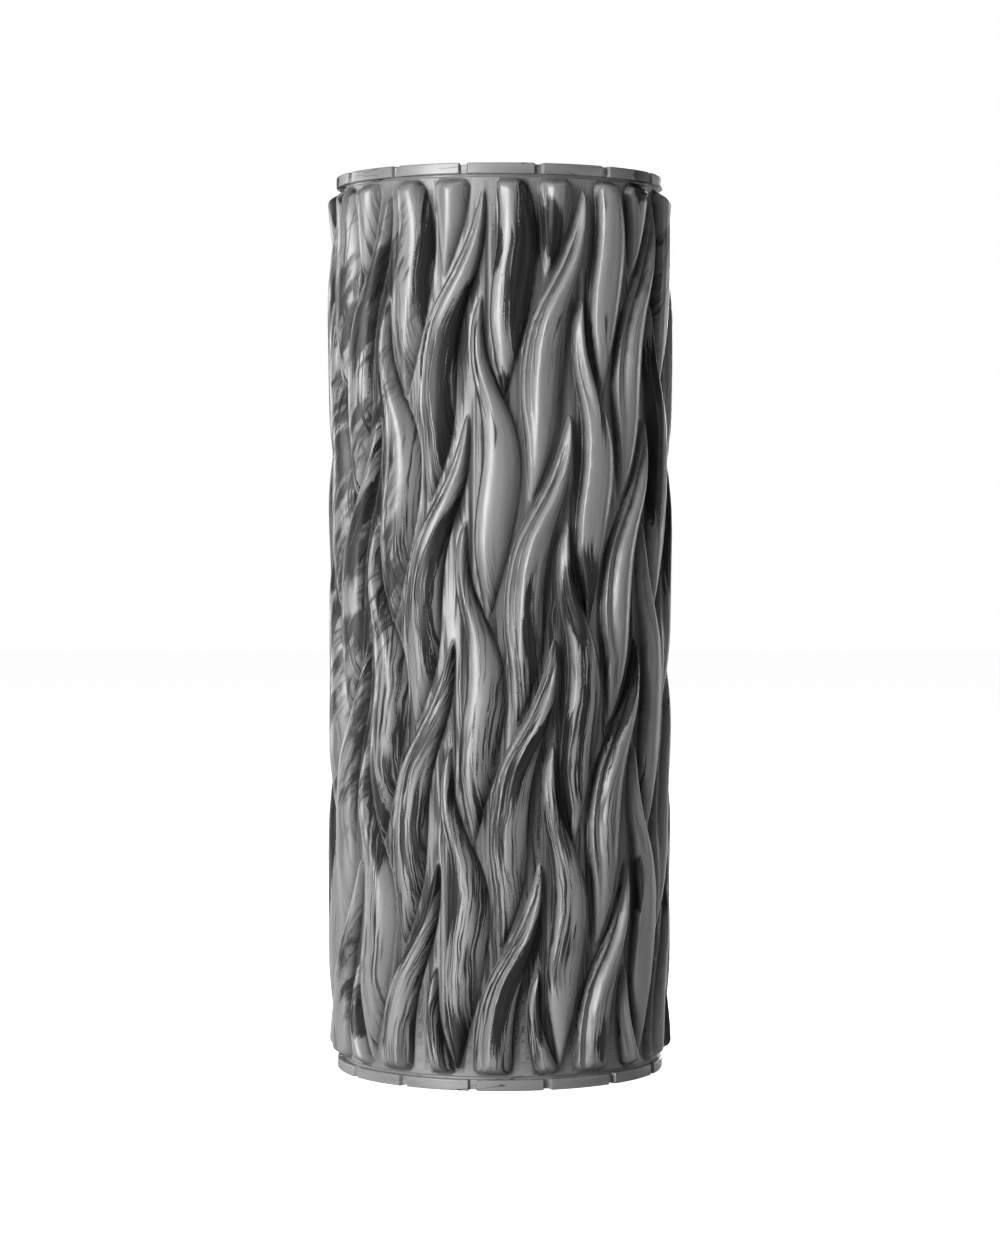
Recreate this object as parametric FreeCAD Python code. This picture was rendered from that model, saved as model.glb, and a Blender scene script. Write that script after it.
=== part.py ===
import FreeCAD, Part

import math
import os

# Hollow-core foam massage roller, standing on one end.
# A moulded foam sleeve carries flame-shaped ridges and a rim of flat pads at each end.
# It is bonded with a thin film to a stiff plastic core tube, which is open right through.
# Millimetres and degrees. +Z runs along the roller; the origin is the centre of the lower end.

V = FreeCAD.Vector
AXIS = V(0, 0, 1)

# ---- overall sizes ----
ROLLER_LENGTH = 330.0
CORE_RADIUS = 49.0            # outside of the core tube
FOAM_THICKNESS = 9.2          # the sleeve's wall between its ridges
RIDGE_HEIGHT = 5.6            # highest crest above that wall

# ---- core tube and the film that holds the sleeve on it ----
CORE_WALL = 4.0
CORE_RECESS = 1.0             # tube end inside the foam end, so foam meets the floor first
CORE_CHAMFER = 0.8
FILM_THICKNESS = 0.3
FILM_MARGIN = 2.0             # bare tube left at each end of the film

# ---- rims: a ring of pads at each end of the sleeve ----
RIM_STAND = 2.1               # pad face above the foam surface
RIM_WIDTH = 3.9               # pad size along the roller
PAD_COUNT = 14
PAD_GAP = 2.6                 # slot between two pads
PAD_GAP_DEPTH = 1.4           # slot depth in from the pad face
END_GROOVE_DEPTH = 0.5        # the slots run on across the end face as shallow grooves
PAD_CHAMFER = 0.5
UNDERCUT_DEPTH = 0.5          # groove behind the pads, below the foam surface
UNDERCUT_WIDTH = 0.9
UPPER_RIM_TURN = 0.4          # where a pad is centred on each rim
LOWER_RIM_TURN = 3.5

# ---- the ridge pattern ----
COLUMN_COUNT = 10
ROW_PITCH = 80.0
ROW_TWIST = -5.45             # each row down is turned by this much
END_GAP = 1.4                 # clear foam between a rim's undercut and the ridge ends
END_ROUND = 4.0               # rounding where the ridges stop
BAND_ROOM = 0.2               # the trimming band is this much wider than the crests
LEAST_SHOWING = 3.0           # a ridge that shows less than this at an end is left out
EDGE_CLEARANCE = 0.5          # each flank of a ridge is drawn in by this angle
ROOT_DEPTH = 1.5              # how far a ridge is rooted below the foam surface
SLIVER = 0.6                  # half width in degrees of a ridge at its two points
CREST_SHARE = 0.36            # where the crest lies across the ridge, from its left edge
SHOULDER_SHARE = 0.12         # the steep left flank ends here
SHOULDER_HEIGHT = 0.62        # and is this high there, against the crest
FLANK_SHARE = 0.72            # a point on the easier right flank
FLANK_HEIGHT = 0.66

# One ridge: the angle and height of its upper tip, then (distance below the tip, left edge,
# right edge), the edges in degrees from the tip. The lean of the two kinds differs.
RIGHT_LEAN = {
    "tip": (25.0, 76.0),
    "edges": [
        (1, 0, 0),
        (10, -2.7, 0.4),
        (20, -5.6, -0.3),
        (30, -11.0, -2.7),
        (40, -17.3, -6.3),
        (50, -21.4, -8.8),
        (60, -23.1, -9.9),
        (70, -23.5, -10.1),
        (80, -22.7, -10.9),
        (90, -21.8, -12.4),
        (100, -21.1, -15.3),
        (109, -20.4, -20.4),
    ],
}
LEFT_LEAN = {
    "tip": (30.0, 118.5),
    "edges": [
        (1, 0, 0),
        (10, -3.9, 0.4),
        (20, -4.5, 1.8),
        (30, -3.4, 5.6),
        (40, -1.1, 9.8),
        (50, 0.7, 12.8),
        (60, 0.6, 14.0),
        (70, -1.0, 13.1),
        (80, -2.0, 11.4),
        (90, -2.1, 9.4),
        (100, -0.9, 7.2),
        (113, 2.9, 2.9),
    ],
}
RISE_LENGTH = 34.0            # from the tip to full height
FALL_LENGTH = 30.0            # from full height to the lower point
POINT_HEIGHT = 0.3            # height left at the lower point, against full height

# ---- worked out from the sizes above ----
BORE_RADIUS = CORE_RADIUS - CORE_WALL
SLEEVE_BORE_RADIUS = CORE_RADIUS + FILM_THICKNESS
FLOOR_RADIUS = SLEEVE_BORE_RADIUS + FOAM_THICKNESS
CREST_RADIUS = FLOOR_RADIUS + RIDGE_HEIGHT
RIM_RADIUS = FLOOR_RADIUS + RIM_STAND
MID_HEIGHT = ROLLER_LENGTH / 2
RIDGES_BOTTOM = RIM_WIDTH + UNDERCUT_WIDTH + END_GAP
RIDGES_TOP = ROLLER_LENGTH - RIDGES_BOTTOM


def polar(radius, angle, height):
    """A point from its radius, its angle in degrees and its height."""
    turn = math.radians(angle)
    return V(radius * math.sin(turn), -radius * math.cos(turn), height)


def turned(outline):
    """The solid swept by a closed (radius, height) outline round the roller's axis."""
    corners = [V(radius, 0, height) for radius, height in outline]
    face = Part.Face(Part.makePolygon(corners + corners[:1]))
    return face.revolve(V(0, 0, 0), AXIS, 360)


def mirrored_outline(half):
    """A half outline from the lower end to the middle, completed by its mirror image."""
    upper = [(radius, ROLLER_LENGTH - height) for radius, height in reversed(half)]
    return half + upper


def core_tube():
    bottom = CORE_RECESS
    shoulder = bottom + CORE_CHAMFER
    outside = [
        (BORE_RADIUS + CORE_CHAMFER, bottom),
        (CORE_RADIUS - CORE_CHAMFER, bottom),
        (CORE_RADIUS, shoulder),
    ]
    inside = [(BORE_RADIUS, ROLLER_LENGTH - shoulder), (BORE_RADIUS, shoulder)]
    return turned(mirrored_outline(outside) + inside)


def bond_film():
    bottom = CORE_RECESS + FILM_MARGIN
    length = ROLLER_LENGTH - 2 * bottom
    outer = Part.makeCylinder(SLEEVE_BORE_RADIUS, length, V(0, 0, bottom))
    return outer.cut(Part.makeCylinder(CORE_RADIUS, length, V(0, 0, bottom)))


def sleeve_blank():
    """The sleeve before its ridges: a tube with a stepped rim at each end."""
    undercut_radius = FLOOR_RADIUS - UNDERCUT_DEPTH
    half = [
        (SLEEVE_BORE_RADIUS, 0),
        (RIM_RADIUS - PAD_CHAMFER, 0),
        (RIM_RADIUS, PAD_CHAMFER),
        (RIM_RADIUS, RIM_WIDTH - PAD_CHAMFER),
        (RIM_RADIUS - PAD_CHAMFER, RIM_WIDTH),
        (undercut_radius, RIM_WIDTH),
        (undercut_radius, RIM_WIDTH + UNDERCUT_WIDTH),
        (FLOOR_RADIUS, RIM_WIDTH + UNDERCUT_WIDTH),
    ]
    return turned(mirrored_outline(half))


def slot_cutter(angle, height, groove_height):
    """One slot between two pads. It has sloping sides, and runs on across the end face."""
    slot_floor = RIM_RADIUS - PAD_GAP_DEPTH
    reach = RIM_RADIUS + PAD_GAP_DEPTH
    half_gap = PAD_GAP / 2
    flare = half_gap + 2 * PAD_CHAMFER
    corners = [
        V(-half_gap, -slot_floor, height),
        V(half_gap, -slot_floor, height),
        V(flare, -reach, height),
        V(-flare, -reach, height),
    ]
    slot = Part.Face(Part.makePolygon(corners + corners[:1])).extrude(V(0, 0, RIM_WIDTH))
    length = reach - SLEEVE_BORE_RADIUS + PAD_GAP
    groove = Part.makeBox(PAD_GAP, length, END_GROOVE_DEPTH, V(-half_gap, -reach, groove_height))
    cutter = slot.fuse(groove)
    cutter.rotate(V(0, 0, 0), AXIS, angle)
    return cutter


def rim_slots():
    step = 360.0 / PAD_COUNT
    upper = ROLLER_LENGTH - RIM_WIDTH
    upper_groove = ROLLER_LENGTH - END_GROOVE_DEPTH
    cutters = []
    for count in range(PAD_COUNT):
        gap = (count + 0.5) * step
        cutters.append(slot_cutter(gap + LOWER_RIM_TURN, 0, 0))
        cutters.append(slot_cutter(gap + UPPER_RIM_TURN, upper, upper_groove))
    return cutters


def height_share(below_tip, length):
    """Height of the crest along the ridge, against full height."""
    rise = math.sin(math.pi / 2 * min(1, below_tip / RISE_LENGTH))
    fall = math.sin(math.pi / 2 * min(1, (length - below_tip) / FALL_LENGTH))
    return rise * (POINT_HEIGHT + (1 - POINT_HEIGHT) * fall)


def ridge_section(tip_angle, height, left, right, share):
    """A closed section across one ridge: its rounded outside and the chord below it."""
    left += EDGE_CLEARANCE
    right -= EDGE_CLEARANCE
    if right - left < 2 * SLIVER:
        middle = (left + right) / 2
        left = middle - SLIVER
        right = middle + SLIVER
    width = right - left
    root = FLOOR_RADIUS - ROOT_DEPTH
    rise = RIDGE_HEIGHT * share
    across = [
        (0, root),
        (SHOULDER_SHARE, FLOOR_RADIUS + rise * SHOULDER_HEIGHT),
        (CREST_SHARE, FLOOR_RADIUS + rise),
        (FLANK_SHARE, FLOOR_RADIUS + rise * FLANK_HEIGHT),
        (1, root),
    ]
    points = [polar(radius, tip_angle + left + width * u, height) for u, radius in across]
    outside = Part.BSplineCurve()
    outside.interpolate(points)
    chord = Part.LineSegment(points[-1], points[0])
    return Part.Wire([outside.toShape(), chord.toShape()])


def ridge(kind, row):
    """One ridge of a kind, in the column at 0 degrees, whole even where it passes an end."""
    tip_angle, tip_height = kind["tip"]
    tip_angle += ROW_TWIST * row
    tip_height += MID_HEIGHT - ROW_PITCH * row
    length = kind["edges"][-1][0]
    sections = []
    for below_tip, left, right in kind["edges"]:
        share = height_share(below_tip, length)
        height = tip_height - below_tip
        sections.append(ridge_section(tip_angle, height, left, right, share))
    return Part.makeLoft(sections, True)


def ridge_band():
    """The space the ridges may fill, rounded where they stop short of each rim."""
    radius = CREST_RADIUS + BAND_ROOM
    band = Part.makeCylinder(radius, RIDGES_TOP - RIDGES_BOTTOM, V(0, 0, RIDGES_BOTTOM))
    rims = [edge for edge in band.Edges if edge.Closed and isinstance(edge.Curve, Part.Circle)]
    return band.makeFillet(END_ROUND, rims)


def ridge_rows(kind):
    """The row numbers of this kind that show in the part of the sleeve that has ridges."""
    tip_height = MID_HEIGHT + kind["tip"][1]
    foot_height = tip_height - kind["edges"][-1][0]
    first = math.ceil((foot_height - RIDGES_TOP + LEAST_SHOWING) / ROW_PITCH)
    last = math.floor((tip_height - RIDGES_BOTTOM - LEAST_SHOWING) / ROW_PITCH)
    return range(first, last + 1)


def all_ridges():
    band = ridge_band()
    ridges = []
    for kind in (RIGHT_LEAN, LEFT_LEAN):
        for row in ridge_rows(kind):
            one = ridge(kind, row).common(band)
            for column in range(COLUMN_COUNT):
                copy = one.copy()
                copy.rotate(V(0, 0, 0), AXIS, 360.0 / COLUMN_COUNT * column)
                ridges.append(copy)
    return ridges


def foam_sleeve():
    blank = sleeve_blank().cut(Part.makeCompound(rim_slots()))
    return blank.multiFuse(all_ridges())


def write(name, shape):
    """Writes one part, after checking that it is a single whole solid."""
    if not shape.isValid() or len(shape.Solids) != 1:
        raise ValueError(name + " is not one valid solid")
    solid = shape.Solids[0]
    solid.exportStep("parts/" + name + ".step")
    print(f"{name}: {len(solid.Faces)} faces, {solid.Volume / 1000:.1f} cm3")


os.makedirs("parts", exist_ok=True)
write("core_tube", core_tube())
write("bond_film", bond_film())
write("foam_sleeve", foam_sleeve())
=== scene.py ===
import math

import bpy
import numpy as np
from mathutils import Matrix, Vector


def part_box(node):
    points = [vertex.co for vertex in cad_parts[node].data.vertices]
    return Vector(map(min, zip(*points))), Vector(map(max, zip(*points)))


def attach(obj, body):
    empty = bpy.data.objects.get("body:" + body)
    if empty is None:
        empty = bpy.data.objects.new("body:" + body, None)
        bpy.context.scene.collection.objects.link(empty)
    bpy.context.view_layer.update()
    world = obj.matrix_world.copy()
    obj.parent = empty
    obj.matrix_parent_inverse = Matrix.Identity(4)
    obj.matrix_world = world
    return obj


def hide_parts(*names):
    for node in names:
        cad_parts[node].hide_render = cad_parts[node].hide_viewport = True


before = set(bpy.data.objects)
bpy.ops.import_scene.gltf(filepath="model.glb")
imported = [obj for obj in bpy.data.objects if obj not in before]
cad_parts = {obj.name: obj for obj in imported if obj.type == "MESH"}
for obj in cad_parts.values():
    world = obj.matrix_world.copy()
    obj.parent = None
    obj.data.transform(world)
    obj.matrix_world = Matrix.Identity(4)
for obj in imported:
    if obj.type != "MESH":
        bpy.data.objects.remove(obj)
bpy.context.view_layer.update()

# Foam massage roller, standing on end: a moulded sleeve of marbled foam over a stiff core tube.
# Relief sizes are in millimetres and degrees, and are turned into metres where the mesh is made.
# Angles run round the roller from the side that faces -Y, towards +X.

MM = 0.001

# ---- places and sizes that come from the frame ----
sleeve_low, sleeve_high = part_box("foam_sleeve")
film_low, film_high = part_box("bond_film")
LENGTH = (sleeve_high.z - sleeve_low.z) / MM
CREST_RADIUS = (sleeve_high.x - sleeve_low.x) / 2 / MM
FILM_GAP = 0.05               # keeps the sleeve's bore just clear of the film
BORE_RADIUS = (film_high.x - film_low.x) / 2 / MM + FILM_GAP

# ---- relief of the sleeve ----
RIDGE_HEIGHT = 5.6
FLOOR_RADIUS = CREST_RADIUS - RIDGE_HEIGHT
COLUMNS = 10
COLUMN_PITCH = 360 / COLUMNS
ROW_PITCH = 80.0
ROW_TWIST = -5.45             # degrees that each row is turned against the row above it
LEAST_RIDGE = 0.05            # foam this high over the floor counts as part of a ridge
BAND_END = 6.2                # the ridges stop this far from each end
BAND_ROUND = 4.0              # and round off over this length
CORNER_ROUND = 3.0            # rounding of a ridge end's outline
OUTLINE_EASE = 5.0            # outlines are evened out over this far up and down a ridge
FLOW_MARGIN = 7               # degrees beside a ridge where open foam is counted from it
MM_PER_DEGREE = math.radians(1) * (FLOOR_RADIUS + RIDGE_HEIGHT / 2)
TINY = 1e-12                  # these three keep a division from being by nothing
LEAST_CREST = 1e-6
LEAST_WIDTH = 2e-3

# ---- rims ----
RIM_STAND = 2.1               # the pads stand this far over the foam between the ridges
RIM_WIDTH = 3.9
RIM_EDGE = 0.45               # rounding of the pads' edges
UNDERCUT = 0.5                # depth below that foam, behind the pads
UNDERCUT_WIDTH = 0.9
PADS = 14
PAD_GAP = 2.2
PAD_GAP_SLOPE = 0.6
PAD_GAP_DEPTH = 1.4
END_GROOVE = 0.5              # the gaps run on over the end face, this deep
BORE_CHAMFER = 0.6
BAND_SETBACK = 0.3            # the grid of the ridges starts this far past the undercut
UNDERCUT_SETBACK = 0.05       # the undercut starts this far behind the pads
UNDERCUT_EDGE = (0.12, 0.25)  # how deep and how long the undercut's far edge is cut off
UPPER_RIM_TURN = 0.4
LOWER_RIM_TURN = 3.5

# ---- how finely the sleeve is modelled before its flat parts are thinned out ----
TURN_STEPS = 1440
ROW_STEP = 0.6
SLEEVE_FACES = 190_000
LEAST_FLAT = 0.985            # cosine to a rim's flat face that still counts as part of it
SHARP_ANGLE = 35              # degrees between two faces from which their edge is a sharp one

# Each ridge runs down from a sharp upper tip: (mm below the tip, left edge, crest, right edge),
# in degrees from the tip. "steep" says how suddenly the right flank drops: 0 rounded, 1 steep.
# "ledge" says how far there is a ledge along the left side: 0 none, 1 a full one.
RIGHT_LEAN = {
    "tip": (25.0, 76.5),
    "lines": [
        (0, 0, 0, 0),
        (1.5, -0.6, -0.1, 0.35),
        (6, -1.9, -0.4, 0.6),
        (16, -4.7, -2.1, 0.2),
        (26, -8.8, -5.0, -1.5),
        (36, -14.3, -9.7, -4.8),
        (46, -19.5, -14.5, -7.6),
        (56, -21.8, -17.2, -9.3),
        (66, -23.0, -18.4, -9.9),
        (76, -23.1, -19.0, -10.1),
        (86, -21.8, -18.7, -11.0),
        (96, -21.1, -18.3, -13.4),
        (104, -20.7, -18.6, -16.2),
        (111, -20.2, -19.6, -19.0),
    ],
    "steep": [(0, 0.3), (20, 0.6), (36, 0.9), (60, 0.8), (80, 0.4), (111, 0.1)],
    "ledge": [(0, 0.2), (10, 0.8), (25, 1.0), (65, 0.9), (90, 0.2), (111, 0.0)],
}
LEFT_LEAN = {
    "tip": (29.8, 119.0),
    "lines": [
        (0, 0, 0, 0),
        (1.5, -0.6, -0.2, 0.2),
        (8, -2.9, -1.3, 0.3),
        (14, -3.8, -1.9, 0.5),
        (20, -3.9, -1.8, 1.1),
        (27, -3.3, -0.6, 2.9),
        (34, -1.8, 1.8, 5.9),
        (41, -0.4, 4.2, 9.2),
        (50, 0.6, 5.8, 12.4),
        (60, 0.5, 5.7, 13.8),
        (70, -0.9, 4.3, 13.3),
        (80, -2.1, 3.0, 11.6),
        (90, -2.5, 1.8, 9.7),
        (100, -1.2, 1.6, 6.9),
        (109, 0.4, 2.0, 4.7),
        (117, 1.8, 2.1, 2.4),
    ],
    "steep": [(0, 0.3), (15, 0.6), (30, 0.35), (60, 0.1), (117, 0.05)],
    "ledge": [(0, 0.2), (10, 0.8), (25, 0.7), (50, 0.0), (117, 0.0)],
}
RISE = [(0, 0.0), (2, 0.3), (8, 0.52), (18, 0.76), (30, 0.93), (44, 1.0)]
FALL = [(0, 0.1), (6, 0.4), (18, 0.74), (32, 0.95), (46, 1.0)]
LIP = 0.8                     # raised edge along a ridge's left side
LIP_WIDTH = 0.38
LIP_GROOVE = 0.35             # groove just inside the lip
LIP_PLACE = 0.55              # how far in from the left edge the lip's top lies
GROOVE_PLACE = 1.7            # and the groove's deepest line
GROOVE_WIDTH = 0.7
CREASE_WIDTH = 0.45
FLANK_BEND = 2.2              # how late and suddenly the flanks turn down
CREST_LIMITS = (0.45, 0.85)   # the crest stays within these shares of the width
LIP_ROOM = 3                  # a full lip needs this far to the crest
LIP_GROWTH = 3                # and grows this many times as fast as the ridge does
EDGE_RISE = (0.5, 0.4)        # a ridge's left and right edges rise from the floor over this
LEAST_LIP = 0.25              # share of the lip that is left where there is no ledge
EDGE_SHARE = 0.4              # the left edge stands this high, against the crest
LEDGE_SHARE = 0.45            # a ledge along the left edge stands this high
CHANNEL = 0.5                 # and takes this share of the way to the crest
CREASE = 0.4                  # depth of the crease at its foot
BRINK_SHARE = 0.5             # a steep right flank is still this high where it drops off
SEAM_SHARE = 0.45             # where two ridges meet, the foam is this much lower
SEAM_SOFTENING = 2            # softening passes that widen a seam's line
SEAM_FULL = 0.35              # softened value from which it counts as a full seam
HOLLOW_SHADE_REACH = 9              # softening passes that give the height of the foam around a point, for the painted shade's mask
SEAM_HEIGHT = 0.15            # a full seam needs foam of this share of RIDGE_HEIGHT
SEAM_PAINTED_SHADE = 0.7             # a seam gets shade painted into its colour as a hollow of this amount
HOLLOW_SHADE_DEPTH = 0.65           # mm under the foam around it that makes a hollow a full one for the painted shade

# Charcoal marbling. Each stain follows the ridge that it lies on:
# (angle, height over mid-length, length in mm, width in mm, strength).
STAINS = [
    (17.5, 141, 17, 9, 1.0), (57, 158, 6, 11, 1.0), (7, 126, 52, 11, 0.8), (-2, 134, 16, 5, 0.9),
    (-7, 124, 50, 5, 1.0), (-25, 135, 50, 6, 0.75), (-42, 130, 22, 7, 0.9), (-20, 80, 52, 7, 0.65),
    (-46, 53, 28, 5, 0.85), (-8, 61, 26, 4, 0.7), (2, 84, 10, 4, 0.9), (34, 83, 28, 2.5, 0.95),
    (54, 60, 24, 5, 0.9), (70, 72, 54, 12, 0.8), (46, 112, 35, 4, 0.7), (-24, 20, 74, 5, 0.6),
    (9, 0, 32, 3.5, 0.85), (17, 0, 42, 5, 0.75), (25, 8, 20, 5, 1.0), (31, 17, 22, 6, 0.9),
    (33, -30, 42, 2, 0.8), (27, -40, 42, 2, 0.8), (47, -28, 20, 6, 0.95), (52, -15, 24, 4, 0.85),
    (9, -45, 26, 4, 0.9), (21, -45, 30, 5, 0.75), (-36, -45, 22, 2.5, 0.75), (-46, -60, 26, 3, 0.75),
    (-17, -95, 20, 6, 0.95), (-27, -104, 24, 4, 0.85), (-13, -152, 28, 6, 0.85),
    (-57, -142, 11, 6, 0.85), (3, -128, 42, 4, 0.95), (13, -133, 22, 3, 0.9), (15, -102, 22, 3.5, 0.8),
    (22, -65, 11, 4, 0.95), (35, -148, 10, 5, 0.8), (54, -95, 22, 5, 0.8), (-33, -74, 18, 1.5, 0.8),
]
FAR_STAINS = 150              # and as many more as this on the side away from -Y
FAR_ANGLES = (78, 282)
FAR_HEIGHTS = (-158, 158)
FAR_LENGTH = (10, 50)         # the least, and the most that is added to it
FAR_WIDTH = (2, 9)
FAR_STRENGTHS = (0.6, 1.0)
# How streaky the foam is: (angle, height over mid-length, reach in degrees and mm, amount).
STREAKY = [
    (-55, 70, 28, 110, 0.5), (-5, -105, 45, 62, 0.9), (18, -25, 30, 45, 0.55), (-30, 0, 25, 90, 0.35),
    (110, 40, 40, 130, 0.5), (180, -60, 50, 110, 0.8), (245, 60, 40, 120, 0.6),
]
LEAST_STREAKY = 0.16
# Where charcoal is smeared over the ridges in slanting strokes, in the same terms.
SMEARED = [
    (-64, 105, 26, 48, 1.0), (-38, 132, 14, 22, 0.6), (-70, 10, 26, 52, 1.0), (-48, 28, 12, 30, 0.5),
    (-60, -45, 22, 28, 0.7), (-66, -128, 20, 22, 0.7), (68, 128, 14, 30, 0.6),
    (120, 60, 25, 70, 0.8), (230, -20, 22, 90, 0.9),
]
SMEAR_LEAN = 27               # degrees that the strokes lean to the right
RIM_STREAKY = 0.3             # the rims and end faces have this share of the streaks

# Greys, roughness and gloss of the foam, and the shade painted into its hollows.
PALE = (0.125, 0.16)
DARK = (0.006, 0.019)
# Painted shade: near-black mixed into the foam's colour in hollows and seams, where shade falls.
PAINTED_SHADE_GREY = 0.007
PAINTED_SHADE_SHARE = 0.93           # share of that painted shade grey in a full hollow
FOAM_ROUGHNESS = (0.34, 0.43)
CHARCOAL_ROUGHER = 0.05
GLOSS = (0.5, 0.22)           # of the pale foam, and of the charcoal
CHARCOAL_FROM = 0.44          # marbling level at which the foam is half charcoal


def curve(points, x):
    """A smooth line through (x, y) points that doesn't overshoot them."""
    px = np.array([p[0] for p in points], float)
    py = np.array([p[1] for p in points], float)
    step = np.diff(px)
    slope = np.diff(py) / step
    joined = slope[:-1] * slope[1:]
    inner = np.where(joined > 0, 2 * joined / (slope[:-1] + slope[1:] + TINY), 0)
    m = np.concatenate([[slope[0]], inner, [slope[-1]]])
    x = np.clip(x, px[0], px[-1])
    i = np.clip(np.searchsorted(px, x, side="right") - 1, 0, len(step) - 1)
    h = step[i]
    t = (x - px[i]) / h
    return (
        (2 * t**3 - 3 * t**2 + 1) * py[i]
        + (t**3 - 2 * t**2 + t) * h * m[i]
        + (3 * t**2 - 2 * t**3) * py[i + 1]
        + (t**3 - t**2) * h * m[i + 1]
    )


def end_room(height):
    """How far a height is inside the band of ridges, measured from its nearer end."""
    return LENGTH / 2 - BAND_END - np.abs(height - LENGTH / 2)


def evened(kind, side, below):
    """One line of a ridge's outline, averaged over a short way up and down the ridge."""
    points = [(line[0], line[side]) for line in kind["lines"]]
    reach = points[-1][0]
    ease = np.clip(np.minimum(below, reach - below) / 3, 0, OUTLINE_EASE)
    return np.mean([curve(points, below + ease * share) for share in (-1, -0.5, 0, 0.5, 1)], 0)


def ridge_part(kind, row, heights):
    """One ridge of a kind: the rows it covers, and its outline and size on them."""
    tip_angle, tip_height = kind["tip"]
    tip_height += LENGTH / 2 - ROW_PITCH * row
    reach = kind["lines"][-1][0]
    rows = np.nonzero((heights < tip_height) & (heights > tip_height - reach))[0]
    below = tip_height - heights[rows]
    left, crest, right = (evened(kind, side, below) for side in (1, 2, 3))
    room = np.clip(end_room(heights[rows]), 0, CORNER_ROUND) / CORNER_ROUND
    tuck = (1 - np.sqrt(1 - (1 - room) ** 2)) * CORNER_ROUND / MM_PER_DEGREE
    return {
        "rows": rows,
        "below": below,
        "turn": tip_angle + ROW_TWIST * row,
        "left": left + tuck,
        "crest": crest,
        "right": right - tuck,
        "size": curve(RISE, below) * curve(FALL, reach - below),
        "steep": curve(kind["steep"], below),
        "ledge": curve(kind["ledge"], below),
    }


def bump(distance, width):
    """1 on a line, falling off softly over a width on both sides of it."""
    return np.exp(-((distance / width) ** 2))


def ridge_height(part, across):
    """Height over the floor, against RIDGE_HEIGHT, at distances in mm across the ridge."""
    width = ((part["right"] - part["left"]) * MM_PER_DEGREE)[:, None]
    crest = ((part["crest"] - part["left"]) * MM_PER_DEGREE)[:, None]
    crest = np.clip(crest, CREST_LIMITS[0] * width, CREST_LIMITS[1] * width) + LEAST_CREST
    width = np.maximum(width, LEAST_WIDTH)
    size = part["size"][:, None]
    steep = part["steep"][:, None]
    ledge = part["ledge"][:, None]
    rise = np.clip(across / crest, 0, 1)
    fall = np.clip((across - crest) / (width - crest), 0, 1)
    near = EDGE_SHARE + (1 - EDGE_SHARE) * np.sqrt(1 - (1 - rise) ** 2)
    body = np.clip((rise - CHANNEL) / (1 - CHANNEL), 0, 1)
    stepped = LEDGE_SHARE + (1 - LEDGE_SHARE) * (1 - (1 - body) ** FLANK_BEND)
    near += (stepped - near) * ledge
    far = 1 - (1 - BRINK_SHARE * steep) * fall**FLANK_BEND
    height = size * np.where(across < crest, near, far)
    height -= ledge * size * CREASE / RIDGE_HEIGHT * bump(across - CHANNEL * crest, CREASE_WIDTH)
    lip_share = np.clip(crest / LIP_ROOM, 0, 1) * np.clip(size * LIP_GROWTH, 0, 1)
    lip_share *= LEAST_LIP + (1 - LEAST_LIP) * ledge
    height += lip_share * LIP / RIDGE_HEIGHT * bump(across - LIP_PLACE, LIP_WIDTH)
    height -= lip_share * LIP_GROOVE / RIDGE_HEIGHT * bump(across - GROOVE_PLACE, GROOVE_WIDTH)
    edge = np.clip(across / EDGE_RISE[0], 0, 1) * np.clip((width - across) / EDGE_RISE[1], 0, 1)
    return np.where((across > 0) & (across < width), height * edge, 0)


def relief(angles, heights):
    """The band of ridges on a fine grid: height over the floor and distance across a ridge, both
    in mm, the number of the ridge that each point is on or nearest to, and the seams."""
    shape = (len(heights), len(angles))
    highest = np.full(shape, -np.inf)
    flow = np.tile(angles * MM_PER_DEGREE, (len(heights), 1))
    ridge = np.zeros(shape, int)
    count = 0
    step = angles[1] - angles[0]
    for kind in (RIGHT_LEAN, LEFT_LEAN):
        longest = kind["lines"][-1][0]
        first = math.floor((kind["tip"][1] - longest - LENGTH / 2) / ROW_PITCH) - 1
        last = math.ceil((kind["tip"][1] + LENGTH / 2) / ROW_PITCH) + 1
        for row in range(first, last + 1):
            part = ridge_part(kind, row, heights)
            if len(part["rows"]) == 0:
                continue
            for column in range(COLUMNS):
                turn = part["turn"] + COLUMN_PITCH * column
                begin = math.floor((turn + part["left"].min() - FLOW_MARGIN) / step)
                end = math.ceil((turn + part["right"].max() + FLOW_MARGIN) / step)
                reach = np.arange(begin, end)
                across = (reach[None, :] * step - turn - part["left"][:, None]) * MM_PER_DEGREE
                width = ((part["right"] - part["left"]) * MM_PER_DEGREE)[:, None]
                at = np.ix_(part["rows"], reach % len(angles))
                own = ridge_height(part, across)
                level = np.where(own > 0, own, -np.maximum(np.maximum(-across, across - width), 0))
                count += 1
                on_top = level > highest[at]
                flow[at] = np.where(on_top, turn * MM_PER_DEGREE + across, flow[at])
                ridge[at] = np.where(on_top, count, ridge[at])
                highest[at] = np.maximum(level, highest[at])
    room = np.clip(end_room(heights), 0, BAND_ROUND) / BAND_ROUND
    stop = np.sqrt(1 - (1 - room) ** 2)[:, None]
    height = softened(np.minimum(np.maximum(highest, 0), stop))
    seam = seams(ridge) * np.clip(height / SEAM_HEIGHT, 0, 1)
    height = (height * (1 - SEAM_SHARE * seam)) * RIDGE_HEIGHT
    return height, flow, ridge, seam


def seams(ridge):
    """1 along the lines where two ridges meet, fading to 0 within about a millimetre of them."""
    line = np.zeros(ridge.shape)
    line[:, :] = ridge != np.roll(ridge, 1, 1)
    line[1:] = np.maximum(line[1:], ridge[1:] != ridge[:-1])
    for _ in range(SEAM_SOFTENING):
        line = softened(line)
    return np.clip(line / SEAM_FULL, 0, 1)


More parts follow.
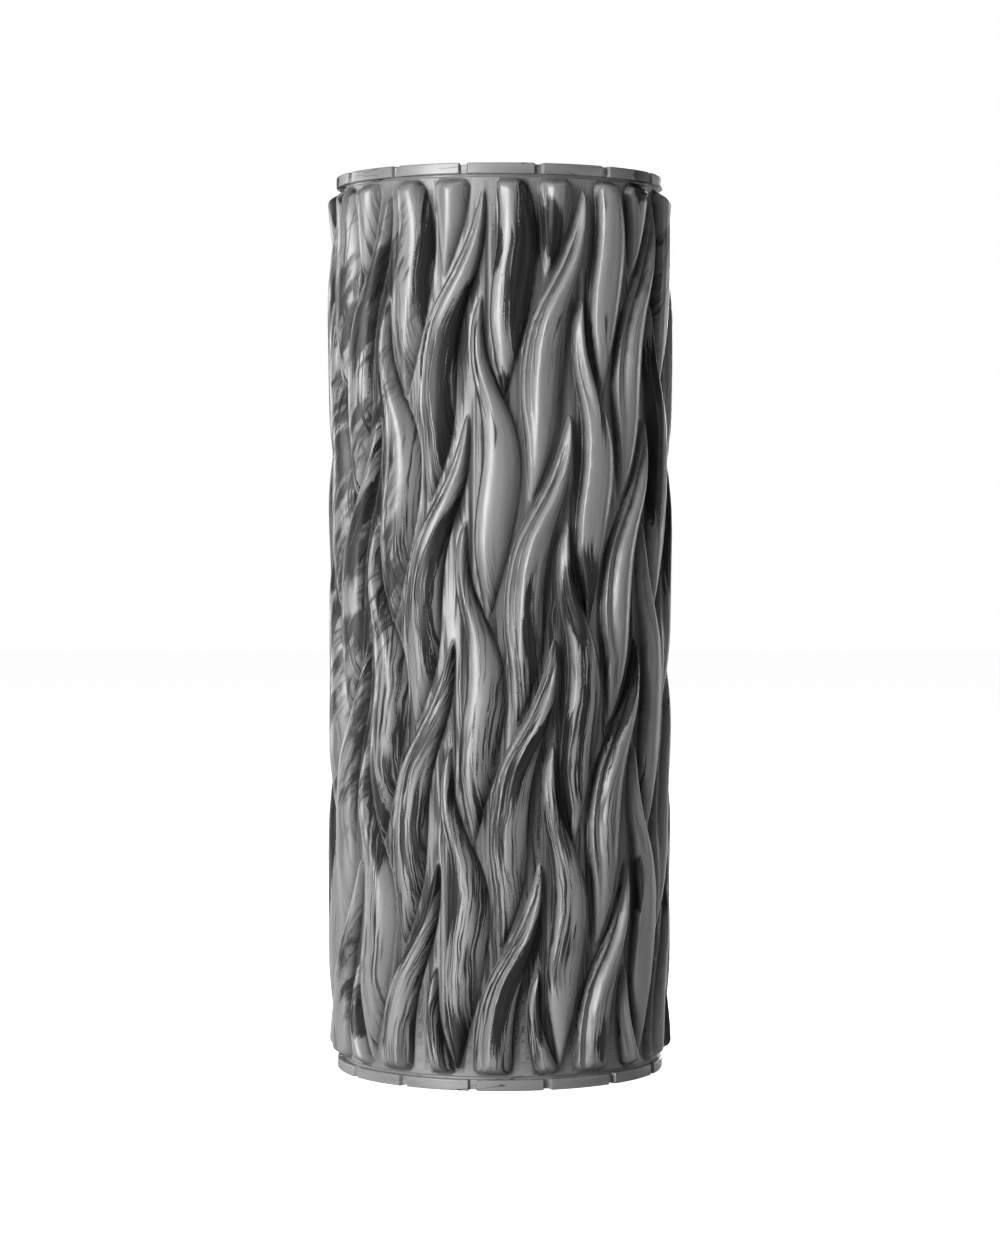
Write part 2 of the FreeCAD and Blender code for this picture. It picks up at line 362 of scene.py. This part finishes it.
def softened(field):
    """The field with its creases slightly rounded, as a mould leaves them in foam."""
    for _ in range(2):
        field = (np.roll(field, 1, 1) + 2 * field + np.roll(field, -1, 1)) / 4
        field[1:-1] = (field[:-2] + 2 * field[1:-1] + field[2:]) / 4
    return field


def hollow_shade_mask(height):
    """Mask of the shade painted into the foam's colour: 1 in narrow valleys and at the foot of steep flanks,
    0 on crests and on open foam.
    """
    around = height
    for _ in range(HOLLOW_SHADE_REACH):
        around = softened(around)
    return np.clip((around - height) / HOLLOW_SHADE_DEPTH, 0, 1)


def relief_normals(angles, heights, relief_height):
    """Unit normals of the band of ridges at each point of its fine grid."""
    radius = FLOOR_RADIUS + relief_height
    turn_step = math.radians(angles[1] - angles[0])
    around = (np.roll(radius, -1, 1) - np.roll(radius, 1, 1)) / (2 * turn_step) / radius
    along = np.gradient(radius, heights[1] - heights[0], axis=0)
    turn = np.radians(angles)[None, :]
    normals = np.stack([
        np.sin(turn) - around * np.cos(turn),
        -np.cos(turn) - around * np.sin(turn),
        -along,
    ], -1)
    return normals / np.linalg.norm(normals, axis=-1, keepdims=True)


def pad_share(angles, turn):
    """1 on a pad, 0 in a gap between two pads, and in between on the gap's sloping sides."""
    pitch = 360 / PADS
    from_gap = np.abs((angles - turn + pitch) % pitch - pitch / 2) * MM_PER_DEGREE
    return np.clip((from_gap - PAD_GAP / 2) / PAD_GAP_SLOPE, 0, 1)


def rim_rows(angles, turn):
    """Rows of (radius, distance from the end) from the bore over one rim to the floor."""
    pad = pad_share(angles, turn)
    sink = END_GROOVE * (1 - pad)
    outer = FLOOR_RADIUS + RIM_STAND - PAD_GAP_DEPTH * (1 - pad)
    flat = np.ones_like(pad)
    rows = [(BORE_RADIUS * flat, BORE_CHAMFER * flat), ((BORE_RADIUS + BORE_CHAMFER) * flat, sink)]
    span = outer - RIM_EDGE - BORE_RADIUS - BORE_CHAMFER
    for part in (0.25, 0.5, 0.75):
        rows.append((BORE_RADIUS + BORE_CHAMFER + span * part, sink))
    for corner in (0, 1):
        for step in range(5):
            bend = math.pi / 2 * (step / 4 + corner)
            out = RIM_EDGE * (math.sin(bend) - 1)
            if corner == 0:
                up = RIM_EDGE * (1 - math.cos(bend))
            else:
                up = RIM_WIDTH - RIM_EDGE * (1 + math.cos(bend))
            rows.append((outer + out, np.maximum(up, sink * (1 - corner))))
    below = FLOOR_RADIUS - UNDERCUT
    top = RIM_WIDTH + UNDERCUT_WIDTH
    rows.append((below * flat, (RIM_WIDTH + UNDERCUT_SETBACK) * flat))
    rows.append((below * flat, (top - UNDERCUT_EDGE[1]) * flat))
    rows.append(((FLOOR_RADIUS - UNDERCUT_EDGE[0]) * flat, top * flat))
    return rows


def sleeve_surface(angles, heights, relief_height):
    """Radius and height of every point of the sleeve's closed surface, row by row, in mm."""
    low = rim_rows(angles, LOWER_RIM_TURN)
    high = rim_rows(angles, UPPER_RIM_TURN)
    radius = [r for r, _ in low]
    height = [z for _, z in low]
    radius += list(FLOOR_RADIUS + relief_height)
    height += list(np.repeat(heights[:, None], len(angles), 1))
    radius += [r for r, _ in reversed(high)]
    height += [LENGTH - z for _, z in reversed(high)]
    return np.array(radius), np.array(height)


def closed_mesh(name, angles, radius, height):
    """A mesh from rings of points, closed from the last ring back to the first."""
    turn = np.radians(angles)[None, :]
    points = np.stack([radius * np.sin(turn), -radius * np.cos(turn), height], -1) * MM
    rings, steps = radius.shape
    ring = np.arange(rings)[:, None] * steps
    ring_next = (np.arange(1, rings + 1)[:, None] % rings) * steps
    here = np.arange(steps)[None, :]
    after = (here + 1) % steps
    quads = np.stack([ring + here, ring + after, ring_next + after, ring_next + here], -1)
    mesh = bpy.data.meshes.new(name)
    mesh.from_pydata(points.reshape(-1, 3), [], quads.reshape(-1, 4))
    return mesh


def thinned(piece, faces):
    """The piece's mesh with its flatter parts in fewer triangles."""
    modifier = piece.modifiers.new("thin", "DECIMATE")
    modifier.ratio = faces / (2 * len(piece.data.polygons))
    bpy.context.view_layer.update()
    solid = bpy.data.meshes.new_from_object(piece.evaluated_get(bpy.context.evaluated_depsgraph_get()))
    piece.modifiers.clear()
    full = piece.data
    piece.data = solid
    bpy.data.meshes.remove(full)
    solid.name = piece.name


def sample(field, angle, height, heights):
    """Values of a field of the ridge band at given angles and heights."""
    column = np.round(angle / 360 * TURN_STEPS).astype(int) % TURN_STEPS
    row = np.clip(np.round((height - heights[0]) / (heights[1] - heights[0])), 0, len(heights) - 1)
    return field[row.astype(int), column]


def stain_field(angles, heights, flow, ridge):
    """How much charcoal there is at each point of the band of ridges, 0 to 1."""
    random = np.random.default_rng(11)
    stains = list(STAINS)
    for _ in range(FAR_STAINS):
        angle = random.uniform(*FAR_ANGLES)
        height = random.uniform(*FAR_HEIGHTS)
        length = FAR_LENGTH[0] + FAR_LENGTH[1] * random.random() ** 2
        width = FAR_WIDTH[0] + FAR_WIDTH[1] * random.random() ** 2
        stains.append((angle, height, length, width, random.uniform(*FAR_STRENGTHS)))
    field = np.zeros_like(flow)
    for angle, height, length, width, strength in stains:
        column = round((angle % 360) / (angles[1] - angles[0])) % len(angles)
        level = LENGTH / 2 + height
        row = np.abs(heights - level).argmin()
        rows = np.abs(heights - level) < length
        along = (heights[rows, None] - level) / (0.6 * length)
        across = (flow[rows] - flow[row, column]) / (0.5 * width)
        amount = strength * np.clip(1.5 - np.hypot(along, across), 0, 1)
        amount[ridge[rows] != ridge[row, column]] = 0
        field[rows] = np.maximum(field[rows], amount)
    return softened(field)


def area_field(areas, least, angles, heights):
    """A field that is the least value everywhere, and rises towards the middle of each area."""
    field = np.full((len(heights), len(angles)), float(least))
    for angle, height, wide, high, amount in areas:
        turn = (angles - angle + 180) % 360 - 180
        far = (turn[None, :] / wide) ** 2 + ((heights[:, None] - LENGTH / 2 - height) / high) ** 2
        field += amount * np.exp(-far)
    return np.clip(field, 0, 1)


def add_vectors(mesh, name, parts):
    attribute_data = mesh.attributes.new(name, "FLOAT_VECTOR", "POINT").data
    attribute_data.foreach_set("vector", np.stack(parts, -1).astype(np.float32).ravel())


def add_flow(mesh, point, on_ridge, across):
    """Places for the marbling: along the ridges, straight up the open foam, round the rims."""
    x, y, z = point
    on_rim = end_room(z) <= 0
    inward = z + np.sign(z - LENGTH / 2) * (FLOOR_RADIUS - np.hypot(x, y))
    # The third place varies the pattern where the first two hardly change.
    add_vectors(mesh, "flow", [
        np.where(on_rim, inward, np.where(on_ridge, across, x)),
        np.where(on_rim, 2 * x, z),
        np.where(on_rim, y / 20, np.where(on_ridge, 0, y / 3)),
    ])


def add_strokes(mesh, angle, z):
    """Places for the smears, turned so that their second axis runs along the strokes."""
    arc = ((angle + 180) % 360 - 180) * MM_PER_DEGREE
    lean = math.radians(SMEAR_LEAN)
    add_vectors(mesh, "stroke", [
        arc * math.cos(lean) - z * math.sin(lean),
        arc * math.sin(lean) + z * math.cos(lean),
        0 * z,
    ])


def set_normals(mesh, point, band_normals, in_band):
    """Exact normals on the band of ridges, and level ones on the flat faces of the rims."""
    x, y, z = point
    mesh.set_sharp_from_angle(angle=math.radians(SHARP_ANGLE))
    corners = np.array([c.vector for c in mesh.corner_normals])
    vertex = np.empty(len(mesh.loops), np.int32)
    mesh.loops.foreach_get("vertex_index", vertex)
    faces = np.empty(len(mesh.polygons) * 3, np.float32)
    mesh.polygons.foreach_get("normal", faces)
    sides = np.empty(len(mesh.polygons), np.int32)
    mesh.polygons.foreach_get("loop_total", sides)
    face = np.repeat(faces.reshape(-1, 3), sides, 0)
    outward = np.stack([x, y, 0 * z], -1)[vertex]
    outward /= np.linalg.norm(outward, axis=1, keepdims=True)
    for flat in (outward, np.sign(z[vertex, None] - LENGTH / 2) * (0, 0, 1)):
        facing = (face * flat).sum(1)
        level = np.abs(facing) > LEAST_FLAT
        corners[level] = flat[level] * np.sign(facing[level, None])
    banded = in_band[vertex]
    corners[banded] = band_normals[vertex[banded]]
    mesh.normals_split_custom_set(corners)


def foam_sleeve():
    """The sleeve's mesh, with its normals, the fields that its marbling follows, and the mask of the shade
    painted into its hollows and seams.
    """
    angles = np.arange(TURN_STEPS) * 360 / TURN_STEPS
    bottom = RIM_WIDTH + UNDERCUT_WIDTH + BAND_SETBACK
    heights = np.linspace(bottom, LENGTH - bottom, round((LENGTH - 2 * bottom) / ROW_STEP) + 1)
    ridges, flow, ridge, seam = relief(angles, heights)
    mesh = closed_mesh("marbled_sleeve", angles, *sleeve_surface(angles, heights, ridges))
    piece = bpy.data.objects.new("marbled_sleeve", mesh)
    bpy.context.scene.collection.objects.link(piece)
    thinned(piece, SLEEVE_FACES)
    mesh = piece.data
    mesh.shade_smooth()

    points = np.empty(len(mesh.vertices) * 3, np.float32)
    mesh.vertices.foreach_get("co", points)
    point = points.reshape(-1, 3).T / MM
    x, y, z = point
    angle = np.degrees(np.arctan2(x, -y)) % 360
    on_ridge = sample(ridges, angle, z, heights) > LEAST_RIDGE
    add_flow(mesh, point, on_ridge, sample(flow, angle, z, heights))
    add_strokes(mesh, angle, z)
    fields = {
        # painted shade: where the colour is darkened in valleys, seams and at the foot of steep flanks
        "painted_hollow_shade": np.maximum(hollow_shade_mask(ridges), SEAM_PAINTED_SHADE * seam),
        "stain": stain_field(angles, heights, flow, ridge),
        "streaky": area_field(STREAKY, LEAST_STREAKY, angles, heights),
        "smeared": area_field(SMEARED, 0, angles, heights),
    }
    for name, field in fields.items():
        values = sample(field, angle, z, heights)
        if name == "streaky":
            values = np.where(end_room(z) <= 0, values * RIM_STREAKY, values)
        mesh.attributes.new(name, "FLOAT", "POINT").data.foreach_set("value", values.astype(np.float32))
    band_normals = sample(relief_normals(angles, heights, ridges), angle, z, heights)
    set_normals(mesh, point, band_normals, (z > heights[1]) & (z < heights[-2]))
    return piece


# ---------------------------------------------------------------- materials

def node(tree, kind, inputs=None, **settings):
    """Adds a node. An input is given a value, or another node's output to follow."""
    made = tree.nodes.new(kind)
    for name, value in settings.items():
        setattr(made, name, value)
    for name, value in (inputs or {}).items():
        if isinstance(value, bpy.types.NodeSocket):
            tree.links.new(value, made.inputs[name])
        else:
            made.inputs[name].default_value = value
    return made


def sums(tree, operation, first, second, third=0.0):
    """The result of a Math node."""
    return node(tree, "ShaderNodeMath", {0: first, 1: second, 2: third}, operation=operation).outputs[0]


def ramp(tree, value, low, high, out_low=0.0, out_high=1.0):
    """A value eased from out_low at low to out_high at high."""
    inputs = {"Value": value, "From Min": low, "From Max": high, "To Min": out_low, "To Max": out_high}
    return node(tree, "ShaderNodeMapRange", inputs, interpolation_type="SMOOTHSTEP").outputs["Result"]


def attribute(tree, name, output):
    return node(tree, "ShaderNodeAttribute", attribute_name=name).outputs[output]


def mixed(tree, share, first, second):
    """A colour that is first where share is 0 and second where it is 1."""
    return node(tree, "ShaderNodeMix", {0: share, 6: first, 7: second}, data_type="RGBA").outputs[2]


def grey(value):
    return (value, value, value, 1)


def new_group(name, inputs, outputs):
    """An empty node group with the inputs {name: socket type} and float outputs."""
    group = bpy.data.node_groups.new(name, "ShaderNodeTree")
    for label, kind in inputs.items():
        group.interface.new_socket(label, in_out="INPUT", socket_type="NodeSocket" + kind)
    for label in outputs:
        group.interface.new_socket(label, in_out="OUTPUT", socket_type="NodeSocketFloat")
    return group, group.nodes.new("NodeGroupInput").outputs, group.nodes.new("NodeGroupOutput").inputs


def streaks_group():
    """Noise drawn out to a size in mm along each axis, about 0.5 on average."""
    group, given, result = new_group(
        "streaks", {"Place": "Vector", "Size": "Vector", "Seed": "Float", "Detail": "Float"}, ["Value"]
    )
    drawn = node(group, "ShaderNodeVectorMath", {0: given["Place"], 1: given["Size"]}, operation="DIVIDE")
    noise = node(group, "ShaderNodeTexNoise", {
        "Vector": drawn.outputs[0],
        "W": given["Seed"],
        "Scale": 1.0,
        "Detail": given["Detail"],
        "Roughness": 0.6,
    }, noise_dimensions="4D")
    group.links.new(noise.outputs["Fac"], result["Value"])
    return group


STREAKS = streaks_group()


def streaks(tree, place, size, seed, detail=2.0):
    inputs = {"Place": place, "Size": size, "Seed": seed, "Detail": detail}
    return node(tree, "ShaderNodeGroup", inputs, node_tree=STREAKS).outputs["Value"]


def skin_group():
    """The skin of a moulded or extruded piece: fine grain and broad blotches, both about 0.5."""
    group, given, result = new_group("skin", {"Place": "Vector", "Grain Size": "Float"}, ["Grain", "Blotch"])
    scale = sums(group, "DIVIDE", 1.0, given["Grain Size"])
    for output, share, detail in (("Grain", 1.0, 3.0), ("Blotch", 0.03, 3.0)):
        noise = node(group, "ShaderNodeTexNoise", {
            "Vector": given["Place"], "Scale": sums(group, "MULTIPLY", scale, share), "Detail": detail,
        })
        group.links.new(noise.outputs["Fac"], result[output])
    return group


def marbling_group():
    """Two foams swirled into each other. Place is in mm, across the mould's flow and along it.
    Charcoal is the share of the dark foam: soft-edged patches, thin threads, fold lines, smears."""
    group, given, result = new_group(
        "marbling",
        {"Place": "Vector", "Stroke": "Vector", "Stain": "Float", "Streaky": "Float", "Smeared": "Float",
         "Grain": "Float"},
        ["Charcoal", "Tone", "Groove"],
    )
    wander = sums(group, "MULTIPLY_ADD", streaks(group, given["Place"], (18, 30, 1), 3.0), 5.0, -2.5)
    shift = node(group, "ShaderNodeCombineXYZ", {"X": wander})
    moved = node(group, "ShaderNodeVectorMath", {0: given["Place"], 1: shift.outputs[0]}, operation="ADD")
    place = moved.outputs[0]
    streaky = given["Streaky"]

    # Bands, streaks and fibres: size in mm, seed, detail, and how much they show on plain foam
    # and how much more on lively foam.
    level = sums(group, "MULTIPLY_ADD", streaky, 0.3, given["Stain"])
    lively = sums(group, "MULTIPLY_ADD", given["Stain"], 0.8, streaky)
    for size, seed, detail, least, more in (
        ((5, 70, 1), 1.0, 3.0, 1.0, 0.2),
        ((1.0, 55, 1), 5.0, 3.0, 0.5, 1.5),
        ((0.35, 16, 1), 9.0, 2.0, 0.15, 0.8),
    ):
        part = sums(group, "SUBTRACT", streaks(group, place, size, seed, detail), 0.5)
        level = sums(group, "MULTIPLY_ADD", part, sums(group, "MULTIPLY_ADD", lively, more, least), level)
    speckle = sums(group, "SUBTRACT", given["Grain"], 0.5)
    level = sums(group, "MULTIPLY_ADD", speckle, 0.35, level)
    softness = ramp(group, streaks(group, place, (7, 22, 1), 13.0), 0.42, 0.58, 0.015, 0.16)
    charcoal = ramp(
        group, level,
        sums(group, "SUBTRACT", CHARCOAL_FROM, softness),
        sums(group, "ADD", CHARCOAL_FROM, softness),
    )

    # Thin threads, on lively foam only.
    threads = sums(group, "SUBTRACT", streaks(group, place, (1.5, 90, 1), 71.0, 2.0), 0.5)
    threads = ramp(group, sums(group, "ABSOLUTE", threads, 0.0), 0.03, 0.08, 1.0, 0.0)
    threaded = ramp(group, streaks(group, place, (5, 40, 1), 81.0), 0.44, 0.56)
    threaded = sums(group, "MULTIPLY", threaded, ramp(group, lively, 0.2, 0.7))
    charcoal = sums(group, "MAXIMUM", charcoal, sums(group, "MULTIPLY", threads, threaded))

    # Fold lines.
    folds = sums(group, "SUBTRACT", streaks(group, place, (4, 130, 1), 21.0, 1.0), 0.5)
    line = ramp(group, sums(group, "ABSOLUTE", folds, 0.0), 0.004, 0.014, 1.0, 0.0)
    folded = ramp(group, streaks(group, place, (6, 40, 1), 31.0), 0.53, 0.6)
    charcoal = sums(group, "MAXIMUM", charcoal, sums(group, "MULTIPLY", line, folded))

    # Smears, in strokes.
    strokes = streaks(group, given["Stroke"], (2.6, 17, 1), 91.0, 4.0)
    patches = sums(group, "SUBTRACT", streaks(group, given["Stroke"], (13, 26, 1), 95.0, 1.0), 0.5)
    strokes = sums(group, "MULTIPLY_ADD", patches, 0.9, strokes)
    strokes = sums(group, "MULTIPLY_ADD", given["Smeared"], 0.16, strokes)
    smear = ramp(group, strokes, 0.56, 0.74)
    smear = sums(group, "MULTIPLY", smear, ramp(group, given["Smeared"], 0.1, 0.5))
    charcoal = sums(group, "MAXIMUM", charcoal, sums(group, "MULTIPLY", smear, 0.9))

    group.links.new(charcoal, result["Charcoal"])
    group.links.new(streaks(group, place, (3.5, 80, 1), 41.0, 2.0), result["Tone"])
    group.links.new(streaks(group, place, (0.8, 45, 1), 51.0, 3.0), result["Groove"])
    return group


SKIN = skin_group()
MARBLING = marbling_group()


def new_material(name):
    material = bpy.data.materials.new(name)
    material.use_nodes = True
    return material, material.node_tree, material.node_tree.nodes["Principled BSDF"]


def place_in_mm(tree):
    """The point of the surface, in mm in the roller's own frame."""
    place = node(tree, "ShaderNodeTexCoord").outputs["Object"]
    return node(tree, "ShaderNodeVectorMath", {0: place, 3: 1000.0}, operation="SCALE").outputs[0]


def bumped(tree, height, strength, depth, under=None):
    """Normals of a fine relief that is depth metres high, on top of the relief under it."""
    inputs = {"Height": height, "Strength": strength, "Distance": depth}
    if under:
        inputs["Normal"] = under
    return node(tree, "ShaderNodeBump", inputs).outputs["Normal"]


def marbled_foam():
    """Satin closed-cell foam in two greys, with shade painted into its hollows and seams."""
    material, tree, shader = new_material("marbled foam")
    place = place_in_mm(tree)
    skin = node(tree, "ShaderNodeGroup", {"Place": place, "Grain Size": 0.45}, node_tree=SKIN)
    marbling = node(tree, "ShaderNodeGroup", {
        "Place": attribute(tree, "flow", "Vector"),
        "Stroke": attribute(tree, "stroke", "Vector"),
        "Smeared": attribute(tree, "smeared", "Fac"),
        "Stain": attribute(tree, "stain", "Fac"),
        "Streaky": attribute(tree, "streaky", "Fac"),
        "Grain": skin.outputs["Grain"],
    }, node_tree=MARBLING).outputs
    pale = mixed(tree, ramp(tree, marbling["Tone"], 0.3, 0.65), grey(PALE[0]), grey(PALE[1]))
    dark = mixed(tree, ramp(tree, marbling["Groove"], 0.35, 0.65), grey(DARK[0]), grey(DARK[1]))
    # Painted shade: the pale foam's colour is darkened towards near-black in hollows and seams, where shade
    # falls.
    painted_hollow_shade = sums(tree, "MULTIPLY", attribute(tree, "painted_hollow_shade", "Fac"), PAINTED_SHADE_SHARE)
    pale = mixed(tree, painted_hollow_shade, pale, grey(PAINTED_SHADE_GREY))
    colour = mixed(tree, marbling["Charcoal"], pale, dark)
    tree.links.new(colour, shader.inputs["Base Color"])
    rough = ramp(tree, skin.outputs["Blotch"], 0.3, 0.7, *FOAM_ROUGHNESS)
    rough = sums(tree, "MULTIPLY_ADD", marbling["Charcoal"], CHARCOAL_ROUGHER, rough)
    tree.links.new(rough, shader.inputs["Roughness"])
    gloss = ramp(tree, marbling["Charcoal"], 0.0, 1.0, *GLOSS)
    tree.links.new(gloss, shader.inputs["Specular IOR Level"])
    grooves = bumped(tree, marbling["Groove"], strength=0.5, depth=0.00008)
    skinned = bumped(tree, skin.outputs["Grain"], strength=0.3, depth=0.00004, under=grooves)
    tree.links.new(skinned, shader.inputs["Normal"])
    return material


def core_plastic():
    """Black extruded plastic, with fine draw lines along the tube."""
    material, tree, shader = new_material("core plastic")
    place = place_in_mm(tree)
    skin = node(tree, "ShaderNodeGroup", {"Place": place, "Grain Size": 0.6}, node_tree=SKIN)
    lines = streaks(tree, place, (0.5, 0.5, 90), 61.0, 3.0)
    colour = mixed(tree, ramp(tree, skin.outputs["Blotch"], 0.3, 0.7), grey(0.012), grey(0.022))
    tree.links.new(colour, shader.inputs["Base Color"])
    tree.links.new(ramp(tree, lines, 0.3, 0.7, 0.3, 0.5), shader.inputs["Roughness"])
    drawn = bumped(tree, lines, strength=0.5, depth=0.0001)
    skinned = bumped(tree, skin.outputs["Grain"], strength=0.25, depth=0.00005, under=drawn)
    tree.links.new(skinned, shader.inputs["Normal"])
    return material


def bond_adhesive():
    """Dried contact adhesive: dull amber, cloudy and lumpy."""
    material, tree, shader = new_material("bond adhesive")
    place = place_in_mm(tree)
    skin = node(tree, "ShaderNodeGroup", {"Place": place, "Grain Size": 0.8}, node_tree=SKIN)
    cloud = ramp(tree, skin.outputs["Blotch"], 0.3, 0.7)
    colour = mixed(tree, cloud, (0.30, 0.21, 0.10, 1), (0.46, 0.37, 0.22, 1))
    tree.links.new(colour, shader.inputs["Base Color"])
    tree.links.new(ramp(tree, skin.outputs["Blotch"], 0.3, 0.7, 0.32, 0.5), shader.inputs["Roughness"])
    lumps = bumped(tree, skin.outputs["Grain"], strength=0.6, depth=0.0002)
    tree.links.new(lumps, shader.inputs["Normal"])
    return material


# ---------------------------------------------------------------- pieces

sleeve = foam_sleeve()
sleeve.data.materials.append(marbled_foam())
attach(sleeve, "root")
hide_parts("foam_sleeve")

for name, finish in (("core_tube", core_plastic()), ("bond_film", bond_adhesive())):
    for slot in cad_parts[name].material_slots:
        slot.material = finish


# ---------------------------------------------------------------- stage

FLOOR_REACH = 4               # metres from the middle to each side
FLOOR_GLOW = 0.95             # how white the floor looks to the camera
AMBIENT = 0.04                # light from all round
CAMERA_DISTANCE = 1.254
CAMERA_HEIGHT = 0.203
CAMERA_DIP = 1.76             # degrees that the camera looks down
CAMERA_LENS = 96.9

floor_mesh = bpy.data.meshes.new("floor")
corners = [(x * FLOOR_REACH, y * FLOOR_REACH, 0) for x, y in ((-1, -1), (1, -1), (1, 1), (-1, 1))]
floor_mesh.from_pydata(corners, [], [(0, 1, 2, 3)])
floor = bpy.data.objects.new("floor", floor_mesh)
bpy.context.scene.collection.objects.link(floor)
floor_material, floor_tree, floor_shader = new_material("pale floor")
floor_shader.inputs["Base Color"].default_value = grey(0.5)
floor_shader.inputs["Emission Color"].default_value = grey(1)
shown = node(floor_tree, "ShaderNodeLightPath").outputs["Is Camera Ray"]
floor_glow = sums(floor_tree, "MULTIPLY", shown, FLOOR_GLOW)
floor_tree.links.new(floor_glow, floor_shader.inputs["Emission Strength"])
floor_mesh.materials.append(floor_material)


def area_light(name, place, target, width, height, power):
    data = bpy.data.lights.new(name, "AREA")
    data.shape = "RECTANGLE"
    data.size = width
    data.size_y = height
    data.energy = power
    lamp = bpy.data.objects.new(name, data)
    bpy.context.scene.collection.objects.link(lamp)
    lamp.visible_camera = False
    lamp.location = place
    lamp.rotation_euler = (Vector(target) - Vector(place)).to_track_quat("-Z", "Y").to_euler()


middle = (0, 0, 0.165)
area_light("key_softbox", (-0.8, -1.02, 0.4), middle, 0.56, 0.8, 32)
area_light("side_softbox", (1.15, -0.3, 0.35), middle, 0.15, 0.75, 2)
area_light("top_softbox", (-0.3, -0.75, 1.2), middle, 0.6, 0.4, 3.5)
area_light("left_rear_softbox", (-1.15, 0.8, 0.2), middle, 0.35, 0.6, 8)
area_light("right_rear_softbox", (1.15, 0.8, 0.15), middle, 0.35, 0.6, 4.5)
area_light("rear_softbox", (0.35, 1.3, 0.6), middle, 0.35, 0.8, 22)
area_light("end_softbox", (0, 0.4, 1.6), middle, 0.8, 0.8, 8)

world = bpy.data.worlds.new("studio")
bpy.context.scene.world = world
world.use_nodes = True
sky = world.node_tree
lit = sky.nodes["Background"]
lit.inputs["Color"].default_value = grey(1)
lit.inputs["Strength"].default_value = AMBIENT
backdrop = node(sky, "ShaderNodeBackground", {"Color": grey(1), "Strength": 1.0})
to_camera = node(sky, "ShaderNodeLightPath").outputs["Is Camera Ray"]
surround = node(sky, "ShaderNodeMixShader", {0: to_camera, 1: lit.outputs[0], 2: backdrop.outputs[0]})
sky.links.new(surround.outputs[0], sky.nodes["World Output"].inputs["Surface"])
bpy.context.scene.view_settings.view_transform = "Standard"

camera_data = bpy.data.cameras.new("camera")
camera = bpy.data.objects.new("camera", camera_data)
bpy.context.scene.collection.objects.link(camera)
camera_data.lens = CAMERA_LENS
camera.location = (0, -CAMERA_DISTANCE, CAMERA_HEIGHT)
camera.rotation_euler = (math.radians(90 - CAMERA_DIP), 0, 0)
bpy.context.scene.camera = camera
